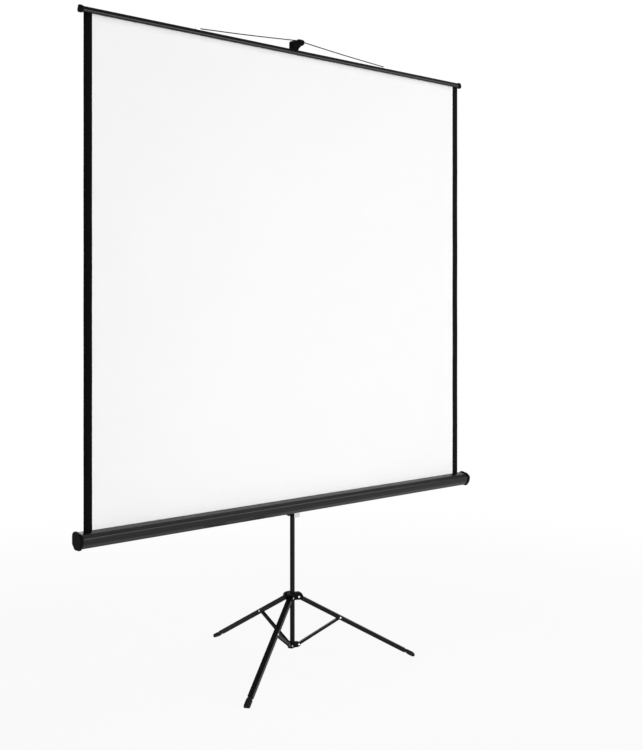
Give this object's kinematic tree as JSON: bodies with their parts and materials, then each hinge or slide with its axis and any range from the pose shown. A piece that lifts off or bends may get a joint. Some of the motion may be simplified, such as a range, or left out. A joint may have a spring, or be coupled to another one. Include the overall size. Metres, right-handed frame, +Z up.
{
  "type": "tripod projection screen",
  "caption": "Free-standing pull-up projection screen: cloth drawn from a low spring-roller case up to a hook on a telescopic mast with a folding tripod.",
  "frame": {"origin": "on the floor, under the middle of the object's outline from above; the mast stands 0.128 m in front of it", "axes": "+Z up along the mast, +X to the right of someone who faces the cloth, -Y out of the cloth's white face"},
  "size_m": [2.1066, 0.8076, 2.608],
  "materials": {
    "black_painted_steel": "satin black paint",
    "black_painted_case": "satin black paint",
    "black_plastic": "matt black",
    "black_rubber": "matt black",
    "zinc_plated_steel": "bright zinc",
    "roller_steel": "plain",
    "screen_fabric": "matt white, with black side borders and a black back",
    "grey_cord": "dark grey braid"
  },
  "bodies": {
    "mast": {"mast_tube": "black_painted_steel", "mast_foot": "black_plastic", "clamp_collar": "black_plastic", "foot_rivet_rear": "zinc_plated_steel", "foot_rivet_left": "zinc_plated_steel", "foot_rivet_right": "zinc_plated_steel"},
    "clamp_screw": {"clamp_screw": "black_plastic"},
    "brace_rear": {"brace_rear": "black_painted_steel"},
    "brace_left": {"brace_left": "black_painted_steel"},
    "brace_right": {"brace_right": "black_painted_steel"},
    "leg_rear": {"leg_rear": "black_painted_steel", "foot_rear": "black_rubber", "leg_rivet_rear": "zinc_plated_steel"},
    "leg_left": {"leg_left": "black_painted_steel", "foot_left": "black_rubber", "leg_rivet_left": "zinc_plated_steel"},
    "leg_right": {"leg_right": "black_painted_steel", "foot_right": "black_rubber", "leg_rivet_right": "zinc_plated_steel"},
    "hub": {"tripod_hub": "black_plastic", "hub_rivet_rear": "zinc_plated_steel", "hub_rivet_left": "zinc_plated_steel", "hub_rivet_right": "zinc_plated_steel"},
    "hub_screw": {"hub_screw": "black_plastic"},
    "carrier": {"case_carrier": "black_plastic", "lever_pin": "zinc_plated_steel", "case_saddle": "zinc_plated_steel", "swing_bolt": "zinc_plated_steel", "saddle_rivet_left": "zinc_plated_steel", "saddle_rivet_right": "zinc_plated_steel", "case_shell": "black_painted_case", "case_cap_left": "black_plastic", "case_cap_right": "black_plastic", "spring_arbor": "zinc_plated_steel", "idler_pin": "zinc_plated_steel", "screen_cloth": "screen_fabric"},
    "release_lever": {"release_lever": "black_plastic"},
    "roller": {"roller_tube": "roller_steel", "roller_plug_left": "black_plastic", "roller_plug_right": "black_plastic", "roller_spring": "zinc_plated_steel", "cloth_roll": "screen_fabric"},
    "extension": {"extension_tube": "black_painted_steel", "cord_hook": "black_plastic", "top_bar": "black_painted_case", "bar_cap_left": "black_plastic", "bar_cap_right": "black_plastic", "cloth_rod": "zinc_plated_steel", "cord_lug_left": "zinc_plated_steel", "cord_lug_right": "zinc_plated_steel", "hanging_cord": "grey_cord"}
  },
  "joints": [
    {"name": "tripod_fold", "type": "hinge", "parent": "mast", "child": "brace_rear", "pos_m": [0, -0.10238, 0.08525], "axis": [1, 0, 0], "range_deg": [0, 57.9]},
    {"name": "leg_rear_fold", "type": "hinge", "parent": "brace_rear", "child": "leg_rear", "pos_m": [0, 0.07639, 0.18475], "axis": [1, 0, 0], "range_deg": [-115.9, 0]},
    {"name": "hub_slide", "type": "hinge", "parent": "leg_rear", "child": "hub", "pos_m": [0, -0.10238, 0.28426], "axis": [1, 0, 0], "range_deg": [0, 58]},
    {"name": "brace_left_fold", "type": "hinge", "parent": "mast", "child": "brace_left", "pos_m": [-0.02252, -0.14138, 0.08525], "axis": [-0.5, 0.866, 0], "range_deg": [0, 58]},
    {"name": "leg_left_fold", "type": "hinge", "parent": "brace_left", "child": "leg_left", "pos_m": [-0.17734, -0.23077, 0.18475], "axis": [-0.5, 0.866, 0], "range_deg": [-115.9, 0]},
    {"name": "brace_right_fold", "type": "hinge", "parent": "mast", "child": "brace_right", "pos_m": [0.02252, -0.14138, 0.08525], "axis": [-0.5, -0.866, 0], "range_deg": [0, 58]},
    {"name": "leg_right_fold", "type": "hinge", "parent": "brace_right", "child": "leg_right", "pos_m": [0.17734, -0.23077, 0.18475], "axis": [-0.5, -0.866, 0], "range_deg": [-115.9, 0]},
    {"name": "hub_screw_turn", "type": "hinge", "parent": "hub", "child": "hub_screw", "pos_m": [0, -0.12838, 0.29126], "axis": [-0.866, 0.5, 0], "range_deg": [0, 540]},
    {"name": "clamp_screw_turn", "type": "hinge", "parent": "mast", "child": "clamp_screw", "pos_m": [0, -0.12838, 1.385], "axis": [0, 1, 0], "range_deg": [0, 540]},
    {"name": "case_height", "type": "slide", "parent": "mast", "child": "carrier", "axis": [0, 0, 1], "range_m": [-0.06, 0.08]},
    {"name": "lever_press", "type": "hinge", "parent": "carrier", "child": "release_lever", "pos_m": [-0.025, -0.12838, 0.64], "axis": [0, 1, 0], "range_deg": [0, 10], "stiffness_Nm_per_rad": 0.5, "springref_deg": -2.86},
    {"name": "screen_pull", "type": "slide", "parent": "carrier", "child": "extension", "axis": [0, 0, 1], "range_m": [-1.07, 0], "deforming": ["screen_cloth"]},
    {"name": "roller_spin", "type": "hinge", "parent": "carrier", "child": "roller", "pos_m": [0, -0.18138, 0.672], "axis": [1, 0, 0], "range_deg": [-3840, 0]}
  ],
  "couplings": [
    {"joint": "leg_rear_fold", "follows": "tripod_fold", "ratio": -2},
    {"joint": "hub_slide", "follows": "tripod_fold", "ratio": 1},
    {"joint": "brace_left_fold", "follows": "tripod_fold", "ratio": 1},
    {"joint": "leg_left_fold", "follows": "tripod_fold", "ratio": -2},
    {"joint": "brace_right_fold", "follows": "tripod_fold", "ratio": 1},
    {"joint": "leg_right_fold", "follows": "tripod_fold", "ratio": -2},
    {"joint": "roller_spin", "follows": "screen_pull", "rad_per_m": 62.5}
  ]
}
